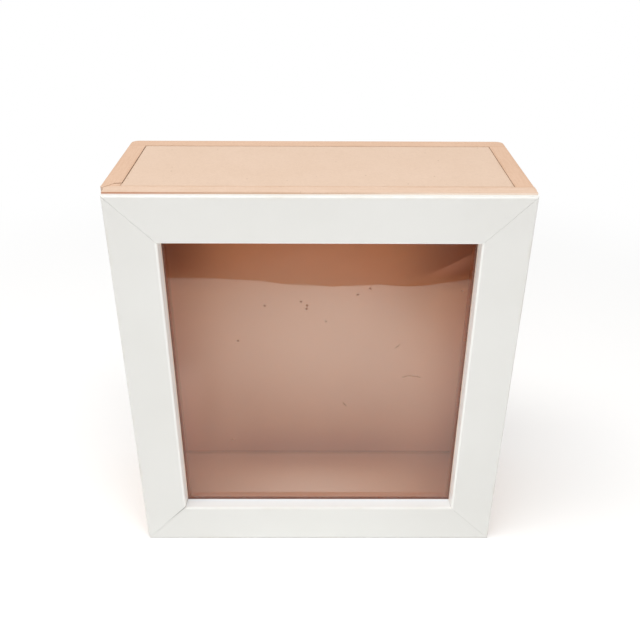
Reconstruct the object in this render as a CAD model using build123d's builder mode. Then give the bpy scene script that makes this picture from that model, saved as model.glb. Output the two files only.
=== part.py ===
from build123d import *
from math import cos, radians, sin, sqrt
import os

# A deep display case: a box of raw fibreboard behind a white mitred frame,
# with a clear pane in front and a loose panel that lifts out of the top.
# X runs to the right, Y to the back and Z up, in millimetres. The origin is
# the bottom centre of the whole case, so the base stands on the plane Z = 0.

# ---- Driving dimensions -------------------------------------------------

# White front frame
frame_width = 200.0
frame_height = 212.0
frame_face = 23.5  # width of the moulding, seen from the front
frame_thickness = 7.25
frame_edge = 3.0  # depth of its outer side, in front of the rebate
frame_rebate = 6.0  # width of the rebate behind that side
frame_outer_radius = 1.0
frame_inner_radius = 1.2
lip_taper = 0.6  # the lip closes in by this much from front to back
mitre_gap = 0.08
corner_knock = 2.0  # knocked off the frame's lower left corner
reveal_side = 1.25  # mean width of the box that stands out beside the frame
reveal_top = 0.75  # height of the box above the frame
frame_offset = 1.0  # glued on this far right of the box's middle

# Box of raw boards
board_thickness = 9.0
back_thickness = 9.5
side_depth = 64.0  # from the rim behind the frame to the back board
back_corner_radius = 4.0
board_arris = 0.3
liner_thickness = 5.5
right_liner_thickness = 4.0

# Rim between the frame and the boards, and the pane that it holds
rim_thickness = 4.0
tongue_play = 0.1  # between the rim's tongue and the frame's rebate
pane_thickness = 0.6
pane_lap = 5.0  # the pane reaches this far past the rim's opening
pane_play = 0.5
pane_clearance = 0.1

# Bruise across the top of the left board, near its front end
bruise_length = 3.4
bruise_width = 0.5
bruise_depth = 1.5
bruise_setback = 3.9  # from the rim to the bruise

# Lift-out top panel: the seams round it are uneven, widest on the left, and
# the left one is nearly closed between the rim and the bruise
seam_left = 0.4
seam_right = 0.25
seam_back = 0.45
seam_front = 0.12
seam_closed = 0.1
lid_arris = 0.2

# Steel pins and nails
brad_radius = 0.6
brad_clearance = 0.03
back_brad_length = 26.0
side_brad_length = 22.0
rim_brad_length = 20.0
brad_edge_distance = 32.0  # from a board's end to the first brad
v_nail_leg = 5.0
v_nail_plate = 0.5
v_nail_height = 5.0
v_nail_clearance = 0.05

# Sawtooth hanger on the back
hanger_length = 46.0
hanger_height = 9.0
hanger_plate = 0.8
hanger_standoff = 1.4
hanger_tab = 8.0
hanger_slope = 2.0
hanger_tooth = 3.0
hanger_tooth_angle = 53.0
hanger_drop = 24.0  # from the case's top to the middle of the hanger
hanger_nail_radius = 0.7
hanger_nail_head_radius = 1.7
hanger_nail_head = 0.6
hanger_nail_length = 9.0
hanger_nail_play = 0.1

# ---- Places worked out from them ----------------------------------------

box_width = frame_width + 2 * reveal_side
box_height = frame_height + reveal_top
hanger_proud = hanger_standoff + hanger_plate
total_depth = frame_thickness + rim_thickness + side_depth + back_thickness + hanger_proud

y_front = -total_depth / 2
y_tongue = y_front + frame_edge
y_rim = y_front + frame_thickness
y_boards = y_rim + rim_thickness
y_back = y_boards + side_depth
y_rear = y_back + back_thickness

x_outer = box_width / 2
x_inner = x_outer - board_thickness
x_wall_left = liner_thickness - x_inner
x_wall_right = x_inner - right_liner_thickness
x_frame_left = frame_offset - frame_width / 2
x_frame_right = frame_offset + frame_width / 2
z_middle = box_height / 2
z_floor = board_thickness
z_ledge = box_height - board_thickness
z_opening_low = board_thickness + liner_thickness
z_opening_high = box_height - z_opening_low

tongue_width = frame_rebate - tongue_play
pane_rebate_depth = pane_thickness + 2 * pane_clearance

x_brads = x_outer - board_thickness / 2
z_brads_low = board_thickness / 2
z_brads_high = box_height - board_thickness / 2
z_hanger = box_height - hanger_drop
x_hanger_nail = hanger_length / 2 - hanger_tab / 2
brad_heights = (brad_edge_distance, z_middle, box_height - brad_edge_distance)
brad_widths = (brad_edge_distance - x_outer, 0, x_outer - brad_edge_distance)
side_brad_depths = (y_boards + side_depth / 4, y_back - side_depth / 4)


def xz_plane(y):
    """Plane facing the front at this Y, with local axes X and Z."""
    return Plane.XZ.offset(-y)


def frame_plane(turn=0.0):
    """Plane on the frame's back, facing the front, turned by this many degrees."""
    angle = radians(turn)
    centre = (frame_offset, y_rim, frame_height / 2)
    return Plane(origin=centre, x_dir=(cos(angle), 0, sin(angle)), z_dir=(0, -1, 0))


def rectangle_between(low, high):
    """Rectangle between two corners of the sketch, in any order."""
    with Locations(((low[0] + high[0]) / 2, (low[1] + high[1]) / 2)):
        Rectangle(abs(high[0] - low[0]), abs(high[1] - low[1]))


def mitred_rail(turn, length, reach):
    """One rail of the frame, rebated along its outer back edge. Turn is its place
    round the frame, in degrees from the top, and reach is from the frame's centre
    to the rail's outer side."""
    back_plane = frame_plane(turn)
    depth = frame_face + lip_taper
    half = length / 2 - mitre_gap / sqrt(2)
    across = Plane(origin=back_plane.origin, x_dir=back_plane.y_dir, z_dir=back_plane.x_dir)
    with BuildPart() as rail:
        with BuildSketch(back_plane):
            with BuildLine():
                Polyline(
                    (-half, reach),
                    (half, reach),
                    (half - depth, reach - depth),
                    (depth - half, reach - depth),
                    close=True,
                )
            make_face()
        extrude(amount=frame_thickness)
        with BuildSketch(across) as section:
            with BuildLine():
                Polyline(
                    (reach - frame_rebate, 0),
                    (reach - frame_rebate, frame_thickness - frame_edge),
                    (reach, frame_thickness - frame_edge),
                    (reach, frame_thickness),
                    (reach - frame_face, frame_thickness),
                    (reach - frame_face - lip_taper, 0),
                    close=True,
                )
            make_face()
            inner_corner = section.vertices().group_by(Axis.Y)[-1].sort_by(Axis.X)[0]
            fillet(inner_corner, frame_inner_radius)
            outer_corner = section.vertices().group_by(Axis.Y)[-1].sort_by(Axis.X)[-1]
            fillet(outer_corner, frame_outer_radius)
        extrude(amount=length / 2, both=True, mode=Mode.INTERSECT)
        add(v_nail_pockets, mode=Mode.SUBTRACT)
    return rail


def v_nails(clearance=0.0):
    """L-shaped pins across the four mitres, driven in from the frame's back."""
    half_plate = v_nail_plate / 2 + clearance
    leg = v_nail_leg + clearance
    apex_inset = frame_face / 2 + v_nail_leg / 2
    with BuildPart() as nails:
        with BuildSketch(frame_plane()):
            for side in (-1, 1):
                for end in (-1, 1):
                    x = side * (frame_width / 2 - apex_inset)
                    y = end * (frame_height / 2 - apex_inset)
                    heel = (x - side * half_plate, y - end * half_plate)
                    rectangle_between(heel, (x + side * leg, y + end * half_plate))
                    rectangle_between(heel, (x + side * half_plate, y + end * leg))
        extrude(amount=v_nail_height + clearance)
    return nails


def pins_along_y(points, y_far, length, radius):
    """Round pins along Y at points (x, z), with their far ends at y_far."""
    with BuildPart() as pins:
        with BuildSketch(xz_plane(y_far)):
            with Locations(*points):
                Circle(radius)
        extrude(amount=length)
    return pins


def back_brad_set(clearance=0.0):
    """Brads through the back board, into the side and bottom boards."""
    points = [(side * x_brads, z) for side in (-1, 1) for z in brad_heights]
    points += [(x, z_brads_low) for x in brad_widths]
    return pins_along_y(points, y_rear, back_brad_length + clearance, brad_radius + clearance)


def rim_brad_set(clearance=0.0):
    """Brads through the rim and its tongue, into the front ends of the boards."""
    points = [(side * x_brads, z) for side in (-1, 1) for z in (*brad_heights, z_brads_high)]
    points += [(x, z_brads_low) for x in brad_widths]
    length = rim_brad_length + clearance
    return pins_along_y(points, y_tongue + length, length, brad_radius + clearance)


def side_brad_set(clearance=0.0):
    """Brads through the side boards, into the ends of the bottom board."""
    length = side_brad_length + clearance
    with BuildPart() as pins:
        for x_left in (-x_outer, x_outer - length):
            with BuildSketch(Plane.YZ.offset(x_left)):
                with Locations(*[(y, z_brads_low) for y in side_brad_depths]):
                    Circle(brad_radius + clearance)
            extrude(amount=length)
    return pins


def hanger_shanks(clearance=0.0):
    """Shanks of the two nails through the hanger's tabs."""
    points = [(side * x_hanger_nail, z_hanger) for side in (-1, 1)]
    length = hanger_nail_length + hanger_plate
    return pins_along_y(points, y_rear + hanger_plate, length, hanger_nail_radius + clearance)


# ---- Steel pins, and the holes that they leave --------------------------

frame_v_nails = v_nails()
rim_brads = rim_brad_set()
back_brads = back_brad_set()
side_brads = side_brad_set()

v_nail_pockets = v_nails(v_nail_clearance).part
rim_brad_holes = rim_brad_set(brad_clearance).part
back_brad_holes = back_brad_set(brad_clearance).part
side_brad_holes = side_brad_set(brad_clearance).part

# ---- White front frame --------------------------------------------------

frame_rail_top = mitred_rail(0, frame_width, frame_height / 2)
frame_rail_left = mitred_rail(90, frame_height, frame_width / 2)
frame_rail_bottom = mitred_rail(180, frame_width, frame_height / 2)
frame_rail_right = mitred_rail(270, frame_height, frame_width / 2)

with BuildPart() as knocked_off:
    with BuildSketch(xz_plane(y_rim)):
        with Locations((x_frame_left, 0)):
            Rectangle(corner_knock * sqrt(2), corner_knock * sqrt(2), rotation=45)
    extrude(amount=frame_thickness)
frame_rail_left.part -= knocked_off.part
frame_rail_bottom.part -= knocked_off.part

# ---- Pane and the rim that holds it -------------------------------------


def round_opening(margin):
    """Corners (x, z) of a rectangle that passes the rim's opening by a margin."""
    low = (x_wall_left - margin, z_opening_low - margin)
    high = (x_wall_right + margin, z_opening_high + margin)
    return low, high


with BuildPart() as window_pane:
    with BuildSketch(xz_plane(y_rim + pane_clearance + pane_thickness)):
        rectangle_between(*round_opening(pane_lap))
    extrude(amount=pane_thickness)

with BuildPart() as pane_rebate:
    with BuildSketch(xz_plane(y_rim + pane_rebate_depth)):
        rectangle_between(*round_opening(pane_lap + pane_play))
    extrude(amount=pane_rebate_depth)

with BuildPart() as tongue_ring:
    with BuildSketch(xz_plane(y_rim)):
        rectangle_between((x_frame_left, 0), (x_frame_right, box_height))
        with Locations((frame_offset, frame_height / 2)):
            Rectangle(
                frame_width - 2 * tongue_width,
                frame_height - 2 * tongue_width,
                mode=Mode.SUBTRACT,
            )
    extrude(amount=frame_thickness - frame_edge)

# The rim is planed off where the box stands out to the left of the frame.
with BuildPart() as planed_off:
    with BuildSketch():
        with BuildLine():
            Polyline((-x_outer, y_boards), (-x_outer, y_rim), (x_frame_left, y_rim), close=True)
        make_face()
    extrude(amount=box_height)


def rim_strip(low, high):
    """A strip of the rim between two corners (x, z), rebated for the pane, with
    a tongue that reaches forward into the frame's rebate."""
    with BuildPart() as tongue:
        with BuildSketch(xz_plane(y_rim)):
            rectangle_between(low, high)
        extrude(amount=frame_thickness - frame_edge)
        add(tongue_ring.part, mode=Mode.INTERSECT)
    with BuildPart() as strip:
        with BuildSketch(xz_plane(y_boards)):
            rectangle_between(low, high)
        extrude(amount=rim_thickness)
        add(tongue.part)
        add([pane_rebate.part, planed_off.part, rim_brad_holes], mode=Mode.SUBTRACT)
    return strip


rim_top = rim_strip((-x_outer, z_opening_high), (x_outer, box_height))
rim_bottom = rim_strip((-x_outer, 0), (x_outer, z_opening_low))
rim_left = rim_strip((-x_outer, z_opening_low), (x_wall_left, z_opening_high))
rim_right = rim_strip((x_wall_right, z_opening_low), (x_outer, z_opening_high))

# ---- Boards of the box --------------------------------------------------

with BuildPart() as side_board_left:
    with BuildSketch():
        rectangle_between((-x_outer, y_boards), (-x_inner, y_back))
    extrude(amount=box_height)
    outer_top_edge = side_board_left.edges().filter_by(Axis.Y).group_by(Axis.Z)[-1].sort_by(Axis.X)[0]
    chamfer(outer_top_edge, board_arris)
    with BuildSketch(Plane.XY.offset(box_height)):
        bruise_corner = (-x_inner - bruise_length, y_boards + bruise_setback)
        rectangle_between(bruise_corner, (-x_inner, y_boards + bruise_setback + bruise_width))
    extrude(amount=-bruise_depth, mode=Mode.SUBTRACT)
    add([back_brad_holes, rim_brad_holes, side_brad_holes], mode=Mode.SUBTRACT)

with BuildPart() as side_board_right:
    with BuildSketch():
        rectangle_between((x_inner, y_boards), (x_outer, y_back))
    extrude(amount=box_height)
    outer_top_edge = side_board_right.edges().filter_by(Axis.Y).group_by(Axis.Z)[-1].sort_by(Axis.X)[-1]
    chamfer(outer_top_edge, board_arris)
    add([back_brad_holes, rim_brad_holes, side_brad_holes], mode=Mode.SUBTRACT)

with BuildPart() as bottom_board:
    with BuildSketch():
        rectangle_between((-x_inner, y_boards), (x_inner, y_back))
    extrude(amount=board_thickness)
    add([back_brad_holes, rim_brad_holes, side_brad_holes], mode=Mode.SUBTRACT)

with BuildPart() as back_board:
    with BuildSketch():
        rectangle_between((-x_outer, y_back), (x_outer, y_rear))
    extrude(amount=box_height)
    fillet(back_board.edges().filter_by(Axis.Z).group_by(Axis.Y)[-1], back_corner_radius)
    top_face = back_board.faces().sort_by(Axis.Z)[-1]
    chamfer(top_face.edges().filter_by(Axis.X).sort_by(Axis.Y)[-1], board_arris)
    add(back_brad_holes, mode=Mode.SUBTRACT)
    add(hanger_shanks(brad_clearance).part, mode=Mode.SUBTRACT)

# ---- Liners: they stiffen the box and carry the top panel ---------------


def liner(low, high):
    """An upright liner between two corners (x, y), from floor to ledge."""
    with BuildPart() as sheet:
        with BuildSketch(Plane.XY.offset(z_floor)):
            rectangle_between(low, high)
        extrude(amount=z_ledge - z_floor)
    return sheet


y_liner = y_back - liner_thickness
back_liner = liner((-x_inner, y_liner), (x_inner, y_back))
side_liner_left = liner((-x_inner, y_boards), (x_wall_left, y_liner))
side_liner_right = liner((x_wall_right, y_boards), (x_inner, y_liner))

# ---- Lift-out top panel -------------------------------------------------

with BuildPart() as lift_out_top:
    with BuildSketch(Plane.XY.offset(z_ledge)):
        front_left = (seam_left - x_inner, y_boards + seam_front)
        rectangle_between(front_left, (x_inner - seam_right, y_back - seam_back))
        corner_left = (seam_closed - x_inner, y_boards + seam_front)
        rectangle_between(corner_left, (seam_left - x_inner, y_boards + bruise_setback))
    extrude(amount=board_thickness)
    chamfer(lift_out_top.faces().sort_by(Axis.Z)[-1].edges(), lid_arris)

# ---- Sawtooth hanger ----------------------------------------------------

with BuildPart() as sawtooth_hanger:
    half_length = hanger_length / 2
    half_bridge = half_length - hanger_tab
    half_raised = half_bridge - hanger_slope
    y_under = y_rear + hanger_standoff
    with BuildSketch(Plane.XY.offset(z_hanger - hanger_height / 2)):
        with BuildLine():
            Polyline(
                (-half_length, y_rear),
                (-half_bridge, y_rear),
                (-half_raised, y_under),
                (half_raised, y_under),
                (half_bridge, y_rear),
                (half_length, y_rear),
                (half_length, y_rear + hanger_plate),
                (half_bridge, y_rear + hanger_plate),
                (half_raised, y_under + hanger_plate),
                (-half_raised, y_under + hanger_plate),
                (-half_bridge, y_rear + hanger_plate),
                (-half_length, y_rear + hanger_plate),
                close=True,
            )
        make_face()
    extrude(amount=hanger_height)
    tooth_count = int(2 * half_raised / hanger_tooth)
    with BuildSketch(xz_plane(y_under + hanger_plate)):
        with Locations((0, z_hanger - hanger_height / 2)):
            with GridLocations(hanger_tooth, 1, tooth_count, 1):
                Triangle(
                    a=hanger_tooth,
                    B=hanger_tooth_angle,
                    C=hanger_tooth_angle,
                    align=(Align.CENTER, Align.MIN),
                )
    extrude(amount=-hanger_proud, mode=Mode.SUBTRACT)
    add(hanger_shanks(hanger_nail_play).part, mode=Mode.SUBTRACT)

with BuildPart() as hanger_nails:
    add(hanger_shanks().part)
    with BuildSketch(xz_plane(y_rear + hanger_plate)):
        with Locations((-x_hanger_nail, z_hanger), (x_hanger_nail, z_hanger)):
            Circle(hanger_nail_head_radius)
    extrude(amount=-hanger_nail_head)

# ---- One file for each piece --------------------------------------------

pieces = {
    "frame_rail_top": frame_rail_top,
    "frame_rail_bottom": frame_rail_bottom,
    "frame_rail_left": frame_rail_left,
    "frame_rail_right": frame_rail_right,
    "frame_v_nails": frame_v_nails,
    "window_pane": window_pane,
    "rim_top": rim_top,
    "rim_bottom": rim_bottom,
    "rim_left": rim_left,
    "rim_right": rim_right,
    "rim_brads": rim_brads,
    "side_board_left": side_board_left,
    "side_board_right": side_board_right,
    "bottom_board": bottom_board,
    "back_board": back_board,
    "back_brads": back_brads,
    "side_brads": side_brads,
    "back_liner": back_liner,
    "side_liner_left": side_liner_left,
    "side_liner_right": side_liner_right,
    "lift_out_top": lift_out_top,
    "sawtooth_hanger": sawtooth_hanger,
    "hanger_nails": hanger_nails,
}

os.makedirs("parts", exist_ok=True)
for name, piece in pieces.items():
    piece.part.label = name
    export_step(piece.part, f"parts/{name}.step")
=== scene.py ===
# %% [markdown]
# # A display case for butterflies, finished in Blender
#
# The case is a deep box of raw fibreboard. A white picture frame closes its
# front and holds a clear sheet, and its top is a loose board that lifts out.
# The CAD model already gives every piece its shape and place, so this lesson
# adds what CAD leaves out: the camera, the light, the finish of each surface,
# and the small things that no drawing shows, such as dust and a bent sheet.
#
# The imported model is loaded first. Its pieces are never moved, and each new
# piece is measured from them.

# %% Load the case
import math

import bpy
from mathutils import Matrix, Vector


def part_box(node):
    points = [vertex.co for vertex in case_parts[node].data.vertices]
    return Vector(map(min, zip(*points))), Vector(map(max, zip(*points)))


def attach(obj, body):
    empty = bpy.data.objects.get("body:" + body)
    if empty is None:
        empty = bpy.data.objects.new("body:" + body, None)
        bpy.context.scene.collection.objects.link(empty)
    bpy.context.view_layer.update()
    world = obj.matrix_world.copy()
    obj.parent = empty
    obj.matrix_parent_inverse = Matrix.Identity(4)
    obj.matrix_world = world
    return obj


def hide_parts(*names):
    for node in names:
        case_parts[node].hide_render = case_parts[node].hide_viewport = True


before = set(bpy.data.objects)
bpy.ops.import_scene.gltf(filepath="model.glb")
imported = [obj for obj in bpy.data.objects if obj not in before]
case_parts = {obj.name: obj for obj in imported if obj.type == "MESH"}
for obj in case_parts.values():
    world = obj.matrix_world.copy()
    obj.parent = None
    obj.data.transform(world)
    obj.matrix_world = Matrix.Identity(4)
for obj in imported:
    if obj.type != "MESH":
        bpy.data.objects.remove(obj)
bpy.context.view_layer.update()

MM = 0.001

# %% [markdown]
# ## The camera
#
# A camera could be aimed with a Track To constraint, but then its small lean
# could not be set. Here it is turned by three plain angles, one after another:
# how far it is turned to the side, how far it looks down, and how far it leans.
# A short lens close to the case makes the frame taper strongly towards its foot.

# %% Camera above and in front of the case
case_camera = bpy.data.cameras.new("case_camera")
case_camera.lens = 43.69
case_camera.sensor_width = 36.0
case_camera.shift_y = 0.02
case_camera.dof.use_dof = False

camera = bpy.data.objects.new("case_camera", case_camera)
bpy.context.scene.collection.objects.link(camera)
camera_place = (-0.94 * MM, -379.5 * MM, 335.6 * MM)
turned, looks_down, leans = (math.radians(a) for a in (0.382, 30.142, 0.288))
camera.matrix_world = (
    Matrix.Translation(camera_place)
    @ Matrix.Rotation(-turned, 4, "Z")
    @ Matrix.Rotation(math.pi / 2 - looks_down, 4, "X")
    @ Matrix.Rotation(leans, 4, "Z")
)
bpy.context.scene.camera = camera
print("camera at", [round(v, 4) for v in camera.matrix_world.translation])

# %% [markdown]
# ## A short way to write node trees
#
# Every finish below is a tree of nodes. Written out in full, one node takes
# three or four lines, and the tree is lost among them. This small class adds a
# node and returns its output, so that a tree reads like a sum.


# %% A helper for node trees
class Tree:
    """Adds nodes to a tree. A socket takes a number, a colour or another node's output."""

    def __init__(self, owner):
        self.owner = owner

    def link(self, output, socket):
        self.owner.links.new(output, socket)

    def add(self, kind, sockets=None, output=0, **options):
        made = self.owner.nodes.new(kind)
        for name, value in options.items():
            setattr(made, name, value)
        for name, value in (sockets or {}).items():
            if isinstance(value, bpy.types.NodeSocket):
                self.link(value, made.inputs[name])
            else:
                made.inputs[name].default_value = value
        return made.outputs[output] if output is not None else made

    def maths(self, operation, a, b=0.0, c=0.0):
        return self.add("ShaderNodeMath", {0: a, 1: b, 2: c}, operation=operation)

    def vector(self, operation, a, b=(0, 0, 0)):
        out = 1 if operation in ("LENGTH", "DISTANCE", "DOT_PRODUCT") else 0
        return self.add("ShaderNodeVectorMath", {0: a, 1: b}, out, operation=operation)

    def fade(self, value, low, high, start=0.0, end=1.0):
        """Gives start where value is low, end where it is high, and a smooth step between."""
        sockets = {"Value": value, "From Min": low, "From Max": high, "To Min": start, "To Max": end}
        return self.add("ShaderNodeMapRange", sockets, interpolation_type="SMOOTHSTEP")

    def noise(self, place, scale, detail=2.0, roughness=0.5, distortion=0.0):
        sockets = {"Vector": place, "Scale": scale, "Detail": detail}
        sockets |= {"Roughness": roughness, "Distortion": distortion}
        return self.add("ShaderNodeTexNoise", sockets)

    def tint(self, share, under, over, how="MIX"):
        """Lays the colour over on the colour under, by share."""
        sockets = {0: share, 6: under, 7: over}
        return self.add("ShaderNodeMix", sockets, 2, data_type="RGBA", blend_type=how)

    def split(self, place):
        parts = self.add("ShaderNodeSeparateXYZ", {0: place}, None)
        return parts.outputs


def new_finish(title):
    """An empty node material: its helper and its output node."""
    material = bpy.data.materials.new(title)
    material.use_nodes = True
    material.node_tree.nodes.clear()
    tree = Tree(material.node_tree)
    return material, tree, tree.add("ShaderNodeOutputMaterial", output=None)


def grey(value):
    return (value, value, value, 1.0)


# %% [markdown]
# ## The room: a white sweep and soft light
#
# White surroundings light a pale object evenly, so most of the light here comes
# from the world, as from the walls of a white tent. To the eye the world is
# plain white, with a strength of 1, and as light it is weaker, so that the pale
# foil doesn't clip. The Light Path node tells the two kinds of ray apart.


# %% World, white to the eye and softer as light
def seen_directly(tree):
    """1 for rays that show the surroundings as they are, 0 for rays that gather light."""
    rays = tree.add("ShaderNodeLightPath", output=None).outputs
    shown = tree.maths("MAXIMUM", rays["Is Camera Ray"], rays["Is Glossy Ray"])
    return tree.maths("MAXIMUM", shown, rays["Is Transmission Ray"])


WORLD_LIGHT = 0.62
world = bpy.data.worlds.new("white_room")
bpy.context.scene.world = world
world.use_nodes = True
world.node_tree.nodes.clear()
room = Tree(world.node_tree)
strength = room.maths("ADD", room.maths("MULTIPLY", seen_directly(room), 1 - WORLD_LIGHT), WORLD_LIGHT)
sky = room.add("ShaderNodeBackground", {"Color": grey(1.0), "Strength": strength})
room.add("ShaderNodeOutputWorld", {"Surface": sky}, None)
print("world: 1 to the eye,", WORLD_LIGHT, "as light")

# %% [markdown]
# The floor has to look pure white and still carry the shadow. Its plain white
# paint does that near the case. Further out it fades to a glow of strength 1,
# which only the camera, mirrors and clear sheets see, so no horizon shows and
# the case gets no extra light from it.


# %% Floor
def rectangle(half_width, front, back, height):
    """Corners of a level rectangle, anticlockwise from above."""
    corners = [(-half_width, front), (half_width, front), (half_width, back), (-half_width, back)]
    return [(x, y, height) for x, y in corners]


def flat_sheet(title, corners):
    """A flat mesh with one face."""
    mesh = bpy.data.meshes.new(title)
    mesh.from_pydata([tuple(c) for c in corners], [], [tuple(range(len(corners)))])
    sheet = bpy.data.objects.new(title, mesh)
    bpy.context.scene.collection.objects.link(sheet)
    return sheet


FLOOR_SIDE = 6.0
PAINT_TO_THE_EYE, PAINT_AS_LIGHT = 0.86, 0.88
GLOW_STARTS, ALL_GLOW = 0.32, 0.62
floor_white, tree, out = new_finish("floor_white")
place = tree.add("ShaderNodeTexCoord", output=3)
near = tree.add("ShaderNodeBsdfDiffuse", {"Color": grey(PAINT_TO_THE_EYE)})
fill = tree.add("ShaderNodeEmission", {"Color": grey(1.0), "Strength": 1 - PAINT_TO_THE_EYE})
near = tree.add("ShaderNodeAddShader", {0: near, 1: fill})
far = tree.add("ShaderNodeEmission", {"Color": grey(1.0), "Strength": 1.0})
away = tree.fade(tree.vector("LENGTH", place), GLOW_STARTS, ALL_GLOW)
shown = tree.add("ShaderNodeMixShader", {0: away, 1: near, 2: far})
paint = tree.add("ShaderNodeBsdfDiffuse", {"Color": grey(PAINT_AS_LIGHT)})
surface = tree.add("ShaderNodeMixShader", {0: seen_directly(tree), 1: paint, 2: shown})
tree.link(surface, out.inputs["Surface"])

floor = flat_sheet("floor", rectangle(FLOOR_SIDE / 2, -FLOOR_SIDE / 2, FLOOR_SIDE / 2, 0))
floor.data.materials.append(floor_white)
print("floor", FLOOR_SIDE, "m wide, all glow beyond", ALL_GLOW, "m")


# %% [markdown]
# Two large soft lamps add the rest. One overhead, a little in front, brightens
# the top and the window's lower lip, and a weak one in front reaches the back
# of the box. The clear sheet would mirror the front one as a hard-edged patch,
# so mirror rays don't see it.


# %% Two soft lamps
CASE_MIDDLE = (0.0, 0.0, 0.11)


def soft_lamp(title, place, size, watts, colour):
    """A lamp with a wide and a high side, turned towards the middle of the case."""
    lamp = bpy.data.lights.new(title, "AREA")
    lamp.shape, lamp.size, lamp.size_y = "RECTANGLE", size[0], size[1]
    lamp.energy, lamp.color = watts, colour
    holder = bpy.data.objects.new(title, lamp)
    bpy.context.scene.collection.objects.link(holder)
    holder.location = place
    to_case = Vector(CASE_MIDDLE) - Vector(place)
    holder.rotation_euler = to_case.to_track_quat("-Z", "Y").to_euler()
    return holder


overhead_white, front_white = (1.0, 0.99, 0.97), (1.0, 0.995, 0.985)
soft_lamp("overhead_lamp", (-0.14, -0.38, 1.35), size=(1.2, 0.35), watts=10.2, colour=overhead_white)
front_lamp = soft_lamp("front_lamp", (-0.12, -1.25, 0.4), size=(0.6, 0.8), watts=1.9, colour=front_white)
front_lamp.visible_glossy = False

# %% [markdown]
# ## What the clear sheet mirrors
#
# A clear sheet is seen mostly by what it mirrors, and here that is a painted
# reflection: glowing sheets that only mirror rays see. A white paper glow in
# front of the case shows in it as a pale haze, and where the paper ends the
# sheet looks clear. Beyond the paper lies a dark card, and on it two more: a
# sheet that glows faintly in its middle, and the glowing corner of a brown card
# that shows high up at the right. Studios lay real sheets round glass for the
# same reason.
#
# The paper's uneven light is painted into its glow, as paper beside a case is
# lit. Its finish adds up a few fades: one from its brightest place outwards, one
# to the sides, and one along the foot of the case.


# %% Glow of the mirrored sheets
PAPER_GLOW_WHITE, CARD_GLOW_BROWN = (0.90, 1.0, 0.955, 1.0), (1.0, 0.48, 0.32, 1.0)


def painted_uneven_light(tree, x, y):
    """Painted light on the glow: more than 1 at both sides near the case, and less than 1 at the right far from
    it.
    """
    right = tree.maths("MULTIPLY", tree.fade(x, 0.02, 0.10), tree.fade(y, -0.34, -0.15, -0.25, 0.12))
    left = tree.maths("MULTIPLY", tree.fade(x, -0.105, -0.078, 0.28, 0.0), tree.fade(y, -0.24, -0.19))
    return tree.maths("ADD", tree.maths("ADD", right, left), 1.0)


def glow_from(title, middle, near, far, strong, weak, foot_strip=0.0, hue=PAPER_GLOW_WHITE):
    """A glow that goes from strong to weak between two distances, near and far, from its middle."""
    material, tree, out = new_finish(title)
    place = tree.add("ShaderNodeTexCoord", output=3)
    x, y, _ = tree.split(place)
    away = tree.vector("LENGTH", tree.vector("SUBTRACT", place, middle))
    dimmer_aside = tree.fade(tree.maths("ABSOLUTE", x), 0.06, 0.14, 1.0, 0.66)
    bright = tree.maths("MULTIPLY", tree.fade(away, near, far, strong, weak), dimmer_aside)
    foot = tree.fade(tree.maths("ABSOLUTE", tree.maths("ADD", x, 0.002)), 0.0, 0.085, foot_strip, 0.0)
    foot = tree.maths("MULTIPLY", foot, tree.fade(y, -0.105, -0.068))
    bright = tree.maths("MULTIPLY", tree.maths("ADD", bright, foot), painted_uneven_light(tree, x, y))
    glow = tree.add("ShaderNodeEmission", {"Color": hue, "Strength": bright})
    tree.link(glow, out.inputs["Surface"])
    return material


# %% [markdown]
# The sheets lie a fraction of a millimetre above the floor, one over another.
# They are hidden from every ray but mirror rays, so they don't light the case
# or show on the floor. The dark card reaches far forward, because from low down
# the clear sheet mirrors the floor a long way off.


# %% Painted reflections: paper, soft patch, brown corner and dark card
def lay_for_mirror(title, corners, material):
    """A flat sheet in front of the case that only mirror rays see."""
    sheet = flat_sheet(title, corners)
    sheet.data.materials.append(material)
    sheet.visible_camera = sheet.visible_diffuse = sheet.visible_transmission = False
    sheet.visible_shadow = sheet.visible_volume_scatter = False
    return sheet.name


def level(points, height):
    """Points given in millimetres, all at one height."""
    return [(x * MM, y * MM, height * MM) for x, y in points]


far_edge = [(-260, -378), (-142, -375), (-96, -372), (-55, -364), (-29, -354), (17, -345), (47, -347)]
far_edge += [(59, -349), (77, -349), (97, -353), (118, -362), (148, -373), (260, -382)]
near_edge = [(260, -44), (-260, -44)]
slanting_edge = [(70, -340), (89, -357), (114, -386), (140, -411), (161, -433)]
brown_corner = [(260, -300)] + slanting_edge + [(260, -500)]

paper_glow = glow_from("paper_glow", (0.020, -0.262, 0.0), 0.01, 0.20, 2.15, 0.95, foot_strip=0.9)
patch_glow = glow_from("haze_glow", (0.0, -0.36, 0.0), 0.03, 0.16, 0.36, 0.02)
corner_glow = glow_from("corner_glow", (0.095, -0.445, 0.0), 0.055, 0.080, 1.9, 0.2, hue=CARD_GLOW_BROWN)
card_black, tree, out = new_finish("card_black")
dark = tree.add("ShaderNodeBsdfDiffuse", {"Color": (0.02, 0.018, 0.017, 1.0)})
tree.link(dark, out.inputs["Surface"])

mirrored = [
    lay_for_mirror("reflected_paper", level(far_edge + near_edge, 0.8), paper_glow),
    lay_for_mirror("soft_reflection", rectangle(0.3, -0.7, -0.3, 0.6 * MM), patch_glow),
    lay_for_mirror("paper_corner", level(brown_corner, 0.7), corner_glow),
    lay_for_mirror("dark_card", rectangle(6.0, -12.0, -0.3, 0.4 * MM), card_black),
]
print("only mirrored:", mirrored)

# %% [markdown]
# ## Raw fibreboard
#
# The board is pressed wood dust, sanded and left bare. Its flat faces are
# nearly even, with faint clouds, a fine tangle of fibres and a few dark specks
# of bark. A sawn edge shows the softer core, so it is warmer and coarser, with
# layers that run along the board. Edges that are handled get a little darker.
#
# One picture wrapped round the case could give this look, but a picture has to
# be unwrapped and runs out of detail. Noise read from the piece's own
# coordinates has neither problem. Each piece has its own copy of the finish,
# because its handled edges are measured from its own box, and its patterns are
# shifted, so that no two boards look alike.


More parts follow.
